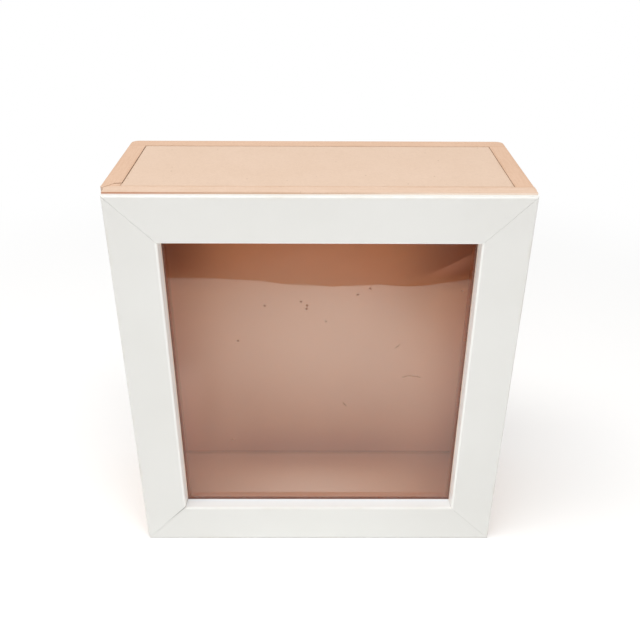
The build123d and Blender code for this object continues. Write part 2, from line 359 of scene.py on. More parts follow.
# %% Wear along a piece's edges
def box_wear(tree, place, low, high, reach):
    """1 along the edges of a piece's box and 0 on its faces.

    Near an edge two of the three distances to the box's sides are small, so the
    middle one of the three tells how near the edge is.
    """
    gaps = []
    for axis, along in enumerate(tree.split(place)[:3]):
        to_low = tree.maths("SUBTRACT", along, low[axis])
        to_high = tree.maths("SUBTRACT", high[axis], along)
        gaps.append(tree.maths("MINIMUM", to_low, to_high))
    x, y, z = gaps
    larger = tree.maths("MINIMUM", tree.maths("MAXIMUM", x, y), z)
    second = tree.maths("MAXIMUM", tree.maths("MINIMUM", x, y), larger)
    return tree.fade(second, 0.0, reach, 1.0, 0.0)


# %% [markdown]
# Three noises and one pattern of cells make everything else. The layers are a
# noise squeezed along the axis that the board's flat faces look along. Bark is
# a small dot in the middle of a cell, in a few cells chosen by their colour.


# %% Patterns in the board
LAYER_SQUEEZE = 22.0


def board_patterns(tree, moved, flat_axis):
    """Layers that run along the board, clouds, fibres and specks of bark."""
    squeeze = [1.0, 1.0, 1.0]
    squeeze[flat_axis] = LAYER_SQUEEZE
    layers = tree.noise(tree.vector("MULTIPLY", moved, squeeze), 70.0, 3.0, 0.6)
    clouds = tree.noise(moved, 38.0, 3.0, 0.55)
    fibres = tree.noise(moved, 520.0, 5.0, 0.68, 1.6)
    cells = {"Vector": moved, "Scale": 210.0, "Randomness": 1.0}
    bark = tree.add("ShaderNodeTexVoronoi", cells, None).outputs
    chosen = tree.fade(tree.split(bark["Color"])[0], 0.80, 0.84)
    specks = tree.maths("MULTIPLY", tree.fade(bark["Distance"], 0.05, 0.12, 1.0, 0.0), chosen)
    return layers, clouds, fibres, specks


# %% [markdown]
# The finish starts from two colours, the sanded face and the sawn edge, and
# lays the clouds, the fibres, the layers, the bark and the handled edges over
# them, one after another. The same noises drive the roughness and the bumps.


# %% Fibreboard finish
CLOUD_SHADE, FIBRE_SHADE = (0.93, 0.90, 0.86, 1), (0.80, 0.75, 0.70, 1)
LAYER_SHADE, HANDLED_SHADE = (0.82, 0.76, 0.70, 1), (0.86, 0.77, 0.68, 1)
BARK_BROWN = (0.30, 0.17, 0.09, 1)


def raw_board(title, low, high, flat_axis, face, edge, shift, inward=None, marks=None):
    """Bare fibreboard whose flat faces look along flat_axis, with painted shade where it looks inward."""
    material, tree, out = new_finish(title)
    coordinates = tree.add("ShaderNodeTexCoord", output=None).outputs
    place, normal = coordinates["Object"], coordinates["Normal"]
    moved = tree.vector("ADD", place, shift)

    facing = tree.maths("ABSOLUTE", tree.split(normal)[flat_axis])
    sawn = tree.fade(facing, 0.55, 0.85, 1.0, 0.0)

    layers, clouds, fibres, specks = board_patterns(tree, moved, flat_axis)

    colour = tree.tint(sawn, face, edge)
    if inward:
        direction, painted_shade_colour = inward
        inner = tree.fade(tree.vector("DOT_PRODUCT", normal, direction), 0.5, 0.9)
        colour = tree.tint(inner, colour, painted_shade_colour)
    colour = tree.tint(tree.fade(clouds, 0.30, 0.70, 0.0, 0.30), colour, CLOUD_SHADE, "MULTIPLY")
    colour = tree.tint(tree.fade(fibres, 0.34, 0.62, 0.30, 0.0), colour, FIBRE_SHADE, "MULTIPLY")
    strata = tree.maths("MULTIPLY", tree.fade(layers, 0.42, 0.64), sawn)
    colour = tree.tint(tree.maths("MULTIPLY", strata, 0.28), colour, LAYER_SHADE, "MULTIPLY")
    colour = tree.tint(tree.maths("MULTIPLY", specks, 0.55), colour, BARK_BROWN)

    edges = box_wear(tree, place, low, high, reach=1.6 * MM)
    worn = tree.maths("MULTIPLY", edges, tree.fade(clouds, 0.3, 0.6))
    colour = tree.tint(tree.maths("MULTIPLY", worn, 0.5), colour, HANDLED_SHADE, "MULTIPLY")
    if marks:
        colour = marks(tree, place, colour)

    rough = tree.maths("ADD", tree.fade(fibres, 0.3, 0.7, 0.70, 0.86), tree.maths("MULTIPLY", sawn, 0.06))
    relief = tree.maths("ADD", fibres, tree.maths("MULTIPLY", tree.maths("MULTIPLY", layers, sawn), 1.5))
    bumps = tree.add("ShaderNodeBump", {"Strength": 0.35, "Distance": 0.06 * MM, "Height": relief})
    board = tree.add("ShaderNodeBsdfPrincipled", {"Base Color": colour, "Roughness": rough, "Normal": bumps})
    tree.link(board, out.inputs["Surface"])
    return material


# %% [markdown]
# The case's left front corner has a small break: a dark crack in the side
# board's end, which the CAD model cuts, and from it a hairline that runs across
# the top strip to the corner. The hairline is far too thin for a mesh, so it is
# drawn in the finish of both boards, as the distance to a line.


# %% A hairline across the corner
WOOD_CRACK = (0.30, 0.15, 0.08, 1)


def hairline(start, end, width):
    """A thin dark line from start to end, the same at every height, to be seen from above."""
    along = Vector(end) - Vector(start)
    across = Vector((-along.y, along.x, 0)).normalized()

    def draw(tree, place, colour):
        from_start = tree.vector("SUBTRACT", place, tuple(start))
        side = tree.maths("ABSOLUTE", tree.vector("DOT_PRODUCT", from_start, tuple(across)))
        way = tree.vector("DOT_PRODUCT", from_start, tuple(along / along.length_squared))
        inside = tree.maths("MULTIPLY", tree.fade(way, -0.04, 0.02), tree.fade(way, 0.96, 1.04, 1.0, 0.0))
        line = tree.maths("MULTIPLY", tree.fade(side, width * 0.3, width, 1.0, 0.0), inside)
        return tree.tint(tree.maths("MULTIPLY", line, 0.85), colour, WOOD_CRACK)

    return draw


case_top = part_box("rim_top")[1].z
corner_start = Vector((-100.2 * MM, -34.5 * MM, case_top))
corner_end = Vector((-95.4 * MM, -28.5 * MM, case_top))
corner_crack = hairline(corner_start, corner_end, 0.42 * MM)
print("hairline across the corner", round((corner_end - corner_start).length / MM, 1), "mm long")

# %% [markdown]
# The top strip is glued to the back of the white frame. The glued edge shows as
# a thin brown line at the left, and at the right it is painted lighter than the
# board, painted light on the strip's dim front edge. The side board gets the
# hairline too, and a short dark split in its end.


# %% Marks at the front of the top
GLUE_BROWN, PAINTED_EDGE_LIGHT = (0.50, 0.22, 0.13, 1), (0.90, 0.77, 0.66, 1)
rim_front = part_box("rim_top")[0].y
print("glued edge at", round(rim_front / MM, 2), "mm")


def glued_edge(tree, place, colour):
    """The front edge of the top strip, browned at the left, and lightened at the right by painted light."""
    x, y, _ = tree.split(place)
    on_edge = tree.fade(y, rim_front + 0.1 * MM, rim_front + 0.5 * MM, 1.0, 0.0)
    browned = tree.maths("MULTIPLY", on_edge, tree.fade(x, -0.098, -0.035, 0.8, 0.1))
    colour = tree.tint(browned, colour, GLUE_BROWN)
    painted_lighter = tree.maths("MULTIPLY", on_edge, tree.fade(x, -0.010, 0.060, 0.0, 0.7))
    return tree.tint(painted_lighter, colour, PAINTED_EDGE_LIGHT)


def top_strip_marks(tree, place, colour):
    return glued_edge(tree, place, corner_crack(tree, place, colour))


split_end = hairline((-95.8 * MM, -28.7 * MM, case_top), (-92.2 * MM, -28.0 * MM, case_top), 0.8 * MM)


def side_board_marks(tree, place, colour):
    return split_end(tree, place, corner_crack(tree, place, colour))


# %% [markdown]
# Inside, the case's light and shade is painted into the boards, in marks that
# no noise would give. The back is painted warm and deep high in the middle, dark
# in its upper corners and lighter low down at the sides, most at the left, and
# the side liners are painted darker towards their tops. Each mark is one or two
# fades along the case's own axes, laid over the board's finish.


# %% Painted light and shade on the back and the side liners
PAINTED_SHADE_LEFT, PAINTED_SHADE_RIGHT = (0.44, 0.255, 0.235, 1), (0.40, 0.21, 0.18, 1)
PAINTED_WARM_MIDDLE, PAINTED_LIGHT_SIDES = (0.69, 0.248, 0.094, 1), (0.80, 0.360, 0.170, 1)
PAINTED_LIGHT_LOW_LEFT = (0.94, 0.440, 0.220, 1)
PAINTED_LINER_SHADE = (0.50, 0.38, 0.36, 1)


def painted_back_light_and_shade(tree, place, colour):
    """Painted light and shade on the back board: a warm middle, dark upper corners and lighter lower sides."""
    x, _, z = tree.split(place)
    leaning = tree.maths("ADD", z, tree.maths("MULTIPLY", tree.maths("MAXIMUM", x, 0.0), 0.38))
    high_up = tree.fade(leaning, 0.120, 0.158)
    aside = tree.fade(tree.maths("ABSOLUTE", tree.maths("ADD", x, 0.004)), 0.030, 0.085)
    corner_shade = tree.tint(tree.fade(x, -0.02, 0.02), PAINTED_SHADE_LEFT, PAINTED_SHADE_RIGHT)
    shaded = tree.tint(tree.maths("MULTIPLY", aside, high_up), colour, corner_shade, "MULTIPLY")
    middle = tree.maths("MULTIPLY", tree.maths("SUBTRACT", 1.0, aside), high_up)
    shaded = tree.tint(middle, shaded, PAINTED_WARM_MIDDLE)
    low_aside = tree.maths("MULTIPLY", aside, tree.fade(z, 0.125, 0.145, 1.0, 0.3))
    shaded = tree.tint(low_aside, shaded, PAINTED_LIGHT_SIDES)
    at_left, low_down = tree.fade(x, -0.086, -0.066, 0.8, 0.0), tree.fade(z, 0.055, 0.085, 1.0, 0.0)
    return tree.tint(tree.maths("MULTIPLY", at_left, low_down), shaded, PAINTED_LIGHT_LOW_LEFT)


def dark_high_up(tree, place, colour):
    """Painted shade: the side liners are darker towards their tops."""
    high_up = tree.fade(tree.split(place)[2], 0.115, 0.170, 0.0, 0.8)
    return tree.tint(high_up, colour, PAINTED_LINER_SHADE, "MULTIPLY")


# %% [markdown]
# The joint between the floor and the back is dirty: a thin line where the two
# boards meet. Round it lies a soft painted shade, strongest in the middle of the
# case. Both are measured from the joint, so the floor and the back share them.


# %% Dirt and painted shade in the floor joint
PAINTED_JOINT_SHADE, JOINT_DIRT = (0.91, 0.84, 0.84, 1), (0.72, 0.50, 0.24, 1)
joint_y, joint_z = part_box("back_liner")[0].y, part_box("bottom_board")[1].z


def floor_joint(tree, place, colour):
    """A dirty line in the joint between the floor and the back, in a soft painted shade."""
    x, y, z = tree.split(place)
    forward, up = tree.maths("SUBTRACT", joint_y, y), tree.maths("SUBTRACT", z, joint_z)
    middle = tree.fade(tree.maths("ABSOLUTE", x), 0.03, 0.07, 1.0, 0.15)
    soft = tree.fade(tree.maths("ADD", forward, up), 5.0 * MM, 26.0 * MM, 1.0, 0.0)
    colour = tree.tint(tree.maths("MULTIPLY", soft, middle), colour, PAINTED_JOINT_SHADE, "MULTIPLY")
    away = tree.maths("ADD", tree.maths("MULTIPLY", forward, 0.45), tree.maths("MULTIPLY", up, 1.4))
    line = tree.fade(away, 0.3 * MM, 1.6 * MM, 0.5, 0.0)
    return tree.tint(line, colour, JOINT_DIRT, "MULTIPLY")


def back_marks(tree, place, colour):
    return floor_joint(tree, place, painted_back_light_and_shade(tree, place, colour))


board_marks = {"rim_top": top_strip_marks, "side_board_left": side_board_marks}
board_marks |= {"back_liner": back_marks, "bottom_board": floor_joint}
board_marks |= {"side_liner_left": dark_high_up, "side_liner_right": dark_high_up}
print("joint at", [round(v / MM, 2) for v in (joint_y, joint_z)], "mm, marks on", sorted(board_marks))

# %% [markdown]
# Which way a board faces decides where its sawn edges are: the lid lies flat,
# the sides stand across, and the back and the front strips face forward. The
# boards inside, and the inward faces of the floor and the lid, are painted
# darker and browner: painted shade for the dim inside of the case.

# %% Colours and flat sides of the boards
OUTER_FACE = (0.70, 0.525, 0.405, 1.0)
OUTER_EDGE = (0.70, 0.480, 0.345, 1.0)
RIM_EDGE = (0.73, 0.540, 0.415, 1.0)
# Painted shade: the inside colours are darker and browner to stand for the dim light inside the case.
SHADED_INNER_FACE = (0.69, 0.288, 0.130, 1.0)
SHADED_FLOOR_FACE = (0.77, 0.400, 0.220, 1.0)
SHADED_INNER_EDGE = (0.66, 0.260, 0.115, 1.0)
flat_axes = {"lift_out_top": 2, "bottom_board": 2}
flat_axes |= dict.fromkeys(("side_board_left", "side_board_right"), 0)
flat_axes |= dict.fromkeys(("side_liner_left", "side_liner_right"), 0)
flat_axes |= dict.fromkeys(("back_board", "back_liner"), 1)
flat_axes |= dict.fromkeys(("rim_top", "rim_bottom", "rim_left", "rim_right"), 1)
inner_boards = {"side_liner_left", "side_liner_right", "back_liner"}
inward_sides = {"bottom_board": ((0, 0, 1), SHADED_FLOOR_FACE), "lift_out_top": ((0, 0, -1), SHADED_INNER_FACE)}
print("boards that lie flat:", [board for board, axis in flat_axes.items() if axis == 2])


# %% Finish every board
def give(part, material):
    """Puts one finish on a piece of the case."""
    part.data.materials.clear()
    part.data.materials.append(material)


for number, (board, axis) in enumerate(flat_axes.items()):
    low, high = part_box(board)
    inner = board in inner_boards
    face, edge = (SHADED_INNER_FACE, SHADED_INNER_EDGE) if inner else (OUTER_FACE, OUTER_EDGE)
    edge = RIM_EDGE if board.startswith("rim") else edge
    shift = (0.37 * number, 0.61 * number, 0.23 * number)
    inward, marks = inward_sides.get(board), board_marks.get(board)
    give(case_parts[board], raw_board("raw_" + board, low, high, axis, face, edge, shift, inward, marks))
print("fibreboard on", len(flat_axes), "boards")

# %% [markdown]
# ## White foil on the frame
#
# The frame is a fibreboard moulding wrapped in white foil. The foil follows the
# board's surface, so under a low light it shows very shallow waves, and it has
# a fine grain of its own and a satin sheen. Its colour is never quite even:
# hands and dust leave a trace of warmth along the edges.


# %% Places on the frame
frame_low, frame_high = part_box("frame_rail_left")[0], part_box("frame_rail_right")[1]
frame_middle = (frame_low + frame_high) / 2
lip_half = (frame_middle.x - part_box("frame_rail_left")[1].x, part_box("frame_rail_top")[0].z - frame_middle.z)


def past_sides(tree, place):
    """How far a place lies outside the window's left or right edge, negative inside it."""
    from_middle = tree.maths("SUBTRACT", tree.split(place)[0], frame_middle.x)
    return tree.maths("SUBTRACT", tree.maths("ABSOLUTE", from_middle), lip_half[0])


def past_lip(tree, place):
    """The same for all four edges."""
    from_middle = tree.maths("SUBTRACT", tree.split(place)[2], frame_middle.z)
    past_ends = tree.maths("SUBTRACT", tree.maths("ABSOLUTE", from_middle), lip_half[1])
    return tree.maths("MAXIMUM", past_sides(tree, place), past_ends)


print("window", [round(2 * half / MM) for half in lip_half], "mm")

# %% [markdown]
# The foil bends round the window's lip, and a painted highlight makes it bright
# there; its cut back edge is a little warmer. The lower left mitre has opened a
# little, and its gap is painted dark: dirt settled in it, and painted shade.
# Both are measured from the frame's own boxes.


# %% Painted highlight, shade and dirt on the foil
MITRE_SHADE_AND_DIRT = (0.16, 0.14, 0.13, 1)


def painted_lip_highlight(tree, place, colour, lip, back_edge):
    """Painted highlight: the foil is bright where it bends into the window, and its back edge is a little
    warmer.
    """
    on_lip = tree.fade(past_lip(tree, place), 0.5 * MM, 2.0 * MM, 1.0, 0.0)
    deep = tree.fade(tree.split(place)[1], frame_high.y - 2.4 * MM, frame_high.y - 1.0 * MM)
    bright = tree.tint(on_lip, colour, lip)
    return tree.tint(tree.maths("MULTIPLY", on_lip, deep), bright, back_edge)


def open_mitre(tree, place, colour):
    """Painted shade and dirt in the lower left mitre, which has opened a little towards the window."""
    x, _, z = tree.split(place)
    out = tree.maths("SUBTRACT", x, frame_low.x)
    up = tree.maths("SUBTRACT", z, frame_low.z)
    aside = tree.maths("ABSOLUTE", tree.maths("SUBTRACT", out, up))
    along = tree.maths("MULTIPLY", tree.maths("ADD", out, up), 0.5)
    width = tree.fade(along, 8.0 * MM, 23.0 * MM, 0.12 * MM, 0.65 * MM)
    line = tree.add("ShaderNodeMapRange", {"Value": aside, "From Max": width, "To Min": 1.0, "To Max": 0.0})
    dark = tree.fade(along, 4.0 * MM, 23.0 * MM, 0.12, 0.8)
    dark = tree.maths("MULTIPLY", dark, tree.fade(along, 28.0 * MM, 30.0 * MM, 1.0, 0.0))
    return tree.tint(tree.maths("MULTIPLY", line, dark), colour, MITRE_SHADE_AND_DIRT)


# %% [markdown]
# The foil itself needs three noises: long waves for the board under it, a fine
# grain, and smudges that make it a little duller where it was touched.


# %% Foil finish
FOIL_WHITE, FOIL_SHADE = (0.788, 0.782, 0.757, 1), (0.772, 0.765, 0.737, 1)
HANDLED_FOIL = (0.90, 0.86, 0.80, 1)
# Painted highlights for the lips, where the foil bends into the window.
UPPER_LIP_HIGHLIGHT, LOWER_LIP_HIGHLIGHT = (0.98, 0.975, 0.95, 1.0), (0.86, 0.92, 0.96, 1.0)
WARM_EDGE = (0.98, 0.87, 0.77, 1.0)


def white_foil(title, low, high, shift, lip, back_edge):
    """Satin foil for one rail, with the painted highlight colour of its lip towards the window, and the colour
    of its back edge.
    """
    material, tree, out = new_finish(title)
    place = tree.add("ShaderNodeTexCoord", output=3)
    moved = tree.vector("ADD", place, shift)
    waves = tree.noise(moved, 22.0, 2.0, 0.45)
    grain = tree.noise(moved, 1500.0, 2.0, 0.6)
    smudges = tree.noise(moved, 55.0, 4.0, 0.6)
    colour = tree.tint(tree.fade(waves, 0.3, 0.7), FOIL_WHITE, FOIL_SHADE)
    edges = box_wear(tree, place, low, high, reach=2.2 * MM)
    worn = tree.maths("MULTIPLY", edges, tree.fade(smudges, 0.45, 0.7))
    colour = tree.tint(tree.maths("MULTIPLY", worn, 0.6), colour, HANDLED_FOIL, "MULTIPLY")
    colour = painted_lip_highlight(tree, place, colour, lip, back_edge)
    colour = open_mitre(tree, place, colour)
    rough = tree.fade(smudges, 0.3, 0.7, 0.36, 0.48)
    wide = tree.add("ShaderNodeBump", {"Strength": 0.25, "Distance": 0.5 * MM, "Height": waves})
    grainy = {"Strength": 0.12, "Distance": 0.02 * MM, "Height": grain, "Normal": wide}
    fine = tree.add("ShaderNodeBump", grainy)
    foil = tree.add("ShaderNodeBsdfPrincipled", {"Base Color": colour, "Roughness": rough, "Normal": fine})
    tree.link(foil, out.inputs["Surface"])
    return material


for number, side in enumerate(("top", "bottom", "left", "right")):
    rail = "frame_rail_" + side
    low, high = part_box(rail)
    lip, back_edge = (LOWER_LIP_HIGHLIGHT, LOWER_LIP_HIGHLIGHT) if side == "bottom" else (UPPER_LIP_HIGHLIGHT, WARM_EDGE)
    foil = white_foil("foil_" + side, low, high, (0.5 * number, 0.3, 0.7 * number), lip, back_edge)
    give(case_parts[rail], foil)
print("foil finishes:", [m.name for m in bpy.data.materials if m.name.startswith("foil_")])

# %% [markdown]
# ## Steel
#
# Nails and brads are drawn wire, and the hanger is stamped plate. Both are
# bright, with fine lines along their length and a little tarnish in patches.


# %% Steel finish
BRIGHT_STEEL, TARNISHED_STEEL = (0.50, 0.49, 0.475, 1), (0.36, 0.33, 0.29, 1)


def bright_steel(title, factors):
    """Drawn or rolled steel. Its lines run along the axis with the smallest factor."""
    material, tree, out = new_finish(title)
    place = tree.add("ShaderNodeTexCoord", output=3)
    lines = tree.noise(tree.vector("MULTIPLY", place, factors), 260.0, 3.0, 0.6)
    patches = tree.noise(place, 240.0, 3.0, 0.6)
    tarnish = tree.fade(patches, 0.5, 0.72)
    colour = tree.tint(tarnish, BRIGHT_STEEL, TARNISHED_STEEL)
    rough = tree.maths("ADD", tree.fade(lines, 0.3, 0.7, 0.20, 0.36), tree.maths("MULTIPLY", tarnish, 0.2))
    bumps = tree.add("ShaderNodeBump", {"Strength": 0.2, "Distance": 0.02 * MM, "Height": lines})
    sockets = {"Base Color": colour, "Metallic": 1.0, "Roughness": rough, "Normal": bumps}
    steel = tree.add("ShaderNodeBsdfPrincipled", sockets)
    tree.link(steel, out.inputs["Surface"])
    return material


wire_steel = bright_steel("wire_steel", (6.0, 0.6, 6.0))
plate_steel = bright_steel("plate_steel", (0.5, 6.0, 9.0))
wire_parts = ("frame_v_nails", "rim_brads", "back_brads", "side_brads", "hanger_nails")
for part in wire_parts:
    give(case_parts[part], wire_steel)
give(case_parts["sawtooth_hanger"], plate_steel)
print("steel on", len(wire_parts) + 1, "pieces")

# %% [markdown]
# ## The clear sheet
#
# The CAD sheet is a perfect flat plate, and a perfect plate mirrors like a
# shop window. A thin sheet cut with a knife is never so flat: held at its rim,
# it swells by a few tenths of a millimetre in the middle, and that is what
# bends the edge of everything it mirrors. Its shape follows a rule, so
# Geometry Nodes make it: a grid, moved by a long wave that dies away at the
# rim, then given its thickness.


# %% An empty node group
def node_group(title, inputs):
    """A geometry node group with named inputs: its helper, its input node and its output node."""
    group = bpy.data.node_groups.new(title, "GeometryNodeTree")
    group.interface.new_socket("Geometry", in_out="INPUT", socket_type="NodeSocketGeometry")
    for name, kind in inputs.items():
        group.interface.new_socket(name, in_out="INPUT", socket_type=kind)
    group.interface.new_socket("Geometry", in_out="OUTPUT", socket_type="NodeSocketGeometry")
    tree = Tree(group)
    start = tree.add("NodeGroupInput", output=None)
    return tree, start.outputs, tree.add("NodeGroupOutput", output=None)


# %% [markdown]
# In the group below, u and v run from -1 to 1 across the sheet and up it. The
# swell dies away near the rim, and one slanting wave makes it uneven.


# %% Node group for the wavy sheet
WAVE_ACROSS, WAVE_UP, WAVE_SHARE = 4.1, 1.7, 0.35


def wavy_sheet_group():
    kinds = {"Width": "NodeSocketFloat", "Height": "NodeSocketFloat", "Thickness": "NodeSocketFloat"}
    kinds |= {"Swell": "NodeSocketFloat", "Place": "NodeSocketVector", "Finish": "NodeSocketMaterial"}
    tree, given, out = node_group("wavy_sheet", kinds)
    sockets = {"Size X": given["Width"], "Size Y": given["Height"], "Vertices X": 63, "Vertices Y": 65}
    grid = tree.add("GeometryNodeMeshGrid", sockets)
    upright = tree.add("GeometryNodeTransform", {"Geometry": grid, "Rotation": (math.pi / 2, 0, 0)})
    place = tree.add("GeometryNodeInputPosition")
    across, _, up = tree.split(place)
    u = tree.maths("DIVIDE", across, tree.maths("MULTIPLY", given["Width"], 0.5))
    v = tree.maths("DIVIDE", up, tree.maths("MULTIPLY", given["Height"], 0.5))
    rim_u = tree.fade(tree.maths("ABSOLUTE", u), 0.25, 0.92, 1.0, 0.0)
    rim_v = tree.fade(tree.maths("ABSOLUTE", v), 0.25, 0.92, 1.0, 0.0)
    slant = tree.maths("ADD", tree.maths("MULTIPLY", u, WAVE_ACROSS), tree.maths("MULTIPLY", v, WAVE_UP))
    wave = tree.maths("MULTIPLY", tree.maths("SINE", slant), WAVE_SHARE)
    wave = tree.maths("ADD", wave, 1 - WAVE_SHARE)
    swell = tree.maths("MULTIPLY", tree.maths("MULTIPLY", rim_u, rim_v), wave)
    swell = tree.maths("MULTIPLY", swell, given["Swell"])
    offset = tree.add("ShaderNodeCombineXYZ", {"X": 0.0, "Y": swell, "Z": 0.0})
    front = tree.add("GeometryNodeSetPosition", {"Geometry": upright, "Offset": offset})
    depth = tree.add("ShaderNodeCombineXYZ", {"X": 0.0, "Y": given["Thickness"], "Z": 0.0})
    thicken = {"Mesh": front, "Offset": depth, "Offset Scale": 1.0, "Individual": False}
    sides = tree.add("GeometryNodeExtrudeMesh", thicken)
    both = tree.add("GeometryNodeJoinGeometry", output=None)
    tree.link(front, both.inputs[0])
    tree.link(sides, both.inputs[0])
    closed = tree.add("GeometryNodeMergeByDistance", {"Geometry": both.outputs[0], "Distance": 0.01 * MM})
    moved = tree.add("GeometryNodeTransform", {"Geometry": closed, "Translation": given["Place"]})
    real = tree.add("GeometryNodeRealizeInstances", {0: moved})
    done = tree.add("GeometryNodeSetMaterial", {"Geometry": real, "Material": given["Finish"]})
    tree.link(done, out.inputs[0])
    return tree.owner


# %% [markdown]
# A modifier's inputs are set by their identifiers, not by their names. The
# result is read from the evaluated object and kept as a plain mesh, and its
# faces are turned outward once more, because joined halves can disagree.


# %% Turn a node group's result into a plain piece
import bmesh


def made_by(group, title, values, start_mesh=None):
    """Runs a node group on a mesh, or on nothing, and returns the result as a plain piece."""
    mesh = start_mesh or bpy.data.meshes.new(title + "_start")
    maker = bpy.data.objects.new(title, mesh)
    bpy.context.scene.collection.objects.link(maker)
    modifier = maker.modifiers.new("maker", "NODES")
    modifier.node_group = group
    for item in group.interface.items_tree:
        if item.in_out == "INPUT" and item.name in values:
            modifier[item.identifier] = values[item.name]
    shown = maker.evaluated_get(bpy.context.evaluated_depsgraph_get())
    plain = bpy.data.meshes.new_from_object(shown)
    maker.modifiers.clear()
    maker.data = plain
    plain.name = title
    shell = bmesh.new()
    shell.from_mesh(plain)
    bmesh.ops.recalc_face_normals(shell, faces=shell.faces)
    shell.to_mesh(plain)
    shell.free()
    print(title, len(plain.vertices), "vertices")
    return maker


# %% [markdown]
# The sheet's finish shows what lies behind it and mirrors a share of what lies
# in front. That share is the Fresnel effect: small head on and growing towards
# a grazing view. Both faces of a thin sheet mirror, so the share of the two
# together is taken where a ray enters the sheet, and none where it leaves. A
# thin film of dust in patches is mixed in next, and last a dark brown band along
# the sheet's edge: dirt where no cloth reaches, and painted shade of the frame,
# wider at the left and right.


# %% Clear sheet finish
PLASTIC_IOR = 1.59
SHEET_CLEAR, DUST_FILM = (0.985, 0.985, 0.98, 1), (0.62, 0.58, 0.54, 1)
EDGE_DIRT_AND_SHADE = (0.20, 0.065, 0.035, 1)


def clear_sheet():
    material, tree, out = new_finish("clear_sheet")
    place = tree.add("ShaderNodeTexCoord", output=3)
    fresnel = tree.add("ShaderNodeFresnel", {"IOR": PLASTIC_IOR})
    twice = tree.maths("DIVIDE", tree.maths("MULTIPLY", fresnel, 2.0), tree.maths("ADD", fresnel, 1.0))
    leaving = tree.add("ShaderNodeNewGeometry", output=None).outputs["Backfacing"]
    entering = tree.maths("SUBTRACT", 1.0, leaving)
    share = tree.maths("MULTIPLY", twice, entering)
    scuffs = tree.noise(place, 90.0, 4.0, 0.65)
    rough = tree.fade(scuffs, 0.4, 0.75, 0.015, 0.05)
    gloss = tree.add("ShaderNodeBsdfGlossy", {"Color": grey(1.0), "Roughness": rough})
    clear = tree.add("ShaderNodeBsdfTransparent", {"Color": SHEET_CLEAR})
    sheet = tree.add("ShaderNodeMixShader", {0: share, 1: clear, 2: gloss})
    film = tree.noise(place, 34.0, 5.0, 0.7)
    dust = tree.add("ShaderNodeBsdfDiffuse", {"Color": DUST_FILM})
    amount = tree.maths("MULTIPLY", tree.fade(film, 0.42, 0.75, 0.0, 0.018), entering)
    surface = tree.add("ShaderNodeMixShader", {0: amount, 1: sheet, 2: dust})
    # Dirt and painted shade along the edge; the wider band at the sides is painted shade.
    dirt_and_shade = tree.add("ShaderNodeBsdfDiffuse", {"Color": EDGE_DIRT_AND_SHADE})
    edge = tree.fade(past_lip(tree, place), -1.1 * MM, 0.0)
    edge = tree.maths("MULTIPLY", tree.maths("POWER", edge, 1.6), 0.6)
    edge = tree.maths("MAXIMUM", edge, tree.fade(past_sides(tree, place), -2.8 * MM, -0.2 * MM, 0.0, 0.32))
    surface = tree.add("ShaderNodeMixShader", {0: edge, 1: surface, 2: dirt_and_shade})
    tree.link(surface, out.inputs["Surface"])
    return material


# %% [markdown]
# The wavy sheet takes its size and its place from the CAD sheet's box, and it
# swells backwards, into the empty case, where nothing is in its way.


# %% Make the wavy sheet
pane_low, pane_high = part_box("window_pane")
pane_middle = (pane_low + pane_high) / 2
pane_size = pane_high - pane_low
sheet_values = {"Width": pane_size.x, "Height": pane_size.z, "Thickness": pane_size.y}
sheet_values |= {"Place": (pane_middle.x, pane_low.y, pane_middle.z), "Swell": 0.35 * MM}
pane = made_by(wavy_sheet_group(), "clear_pane", sheet_values | {"Finish": clear_sheet()})
for face in pane.data.polygons:
    face.use_smooth = True
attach(pane, "case")
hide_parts("window_pane")
print("sheet", [round(v / MM, 2) for v in pane_size], "mm")

# %% [markdown]
# ## Dust and lint on the sheet
#
# A clear sheet charges itself when it is wiped, and pulls dust and lint to its
# front. Two node groups lay them there. Both find the sheet's bent surface with
# a ray, so that nothing floats in front of it or sinks into it.


# %% Find the sheet's surface
def onto_sheet(tree, geometry, sheet):
    """Moves points straight back until they meet the sheet."""
    back = {"Target Geometry": sheet, "Ray Direction": (0, 1, 0), "Ray Length": 10.0 * MM}
    hit = tree.add("GeometryNodeRaycast", back, None).outputs
    spot = {"Geometry": geometry, "Selection": hit["Is Hit"], "Position": hit["Hit Position"]}
    return tree.add("GeometryNodeSetPosition", spot)


def sheet_shape(tree, given):
    """The sheet's mesh, read from the object that the group is given."""
    made = tree.add("GeometryNodeObjectInfo", {"Object": given["Sheet"]}, None, transform_space="RELATIVE")
    return made.outputs["Geometry"]


# %% [markdown]
# The first group scatters small specks at random over the front, with a fixed
# seed, and adds a few larger ones at given places. A point's radius carries its
# size, and each speck is a squashed ball of twenty faces, turned at random.


# %% Node group for specks
SCATTERED_SIZE, PLACED_SIZE = 0.25, 1.0
SMALLEST, LARGEST = 0.6, 1.3


